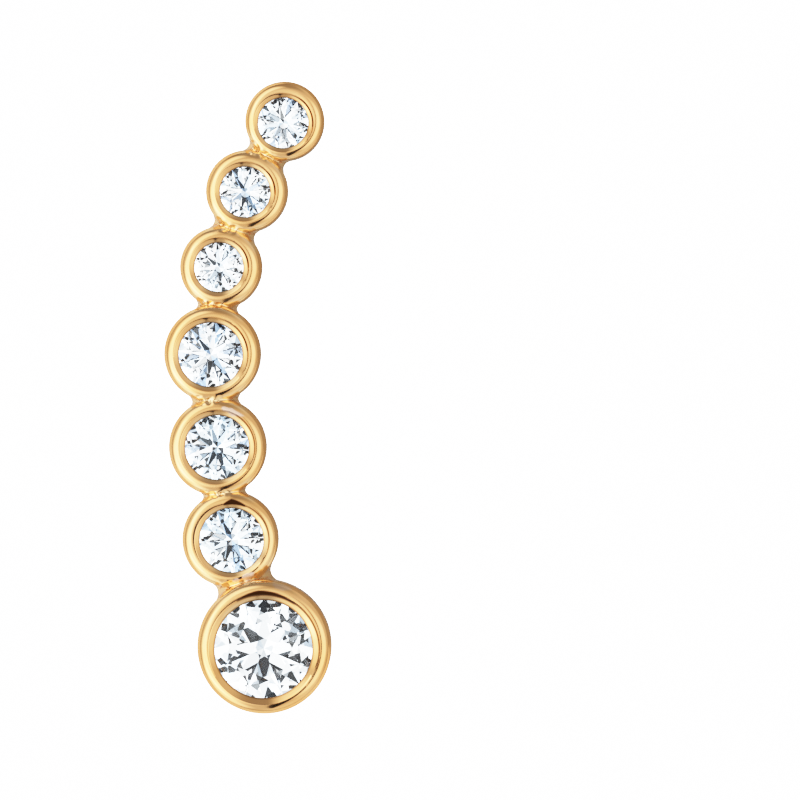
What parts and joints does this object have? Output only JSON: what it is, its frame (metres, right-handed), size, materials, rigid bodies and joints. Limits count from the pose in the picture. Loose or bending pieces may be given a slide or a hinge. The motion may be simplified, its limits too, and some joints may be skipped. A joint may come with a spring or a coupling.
{
  "type": "ear climber earring",
  "caption": "Curved ear climber earring with round clear stones in smooth gold bezels, on a hairpin ear wire behind them.",
  "frame": {"origin": "middle of the bounding box, on the surface that the ear wire lies on", "axes": "+Z from the ear wire to the front of the stones, +Y along the crescent from the largest stone up to the smallest, +X to the right seen from the front"},
  "size_m": [0.0068, 0.0254, 0.0083],
  "materials": {
    "polished_gold": "polished yellow gold plate",
    "gold_wire": "polished yellow gold plate on drawn wire",
    "crystal": "clear cut crystal"
  },
  "bodies": {
    "root": {"setting": "polished_gold", "ear_hook": "gold_wire", "stone_1": "crystal", "stone_2": "crystal", "stone_3": "crystal", "stone_4": "crystal", "stone_5": "crystal", "stone_6": "crystal", "stone_7": "crystal"}
  },
  "joints": []
}
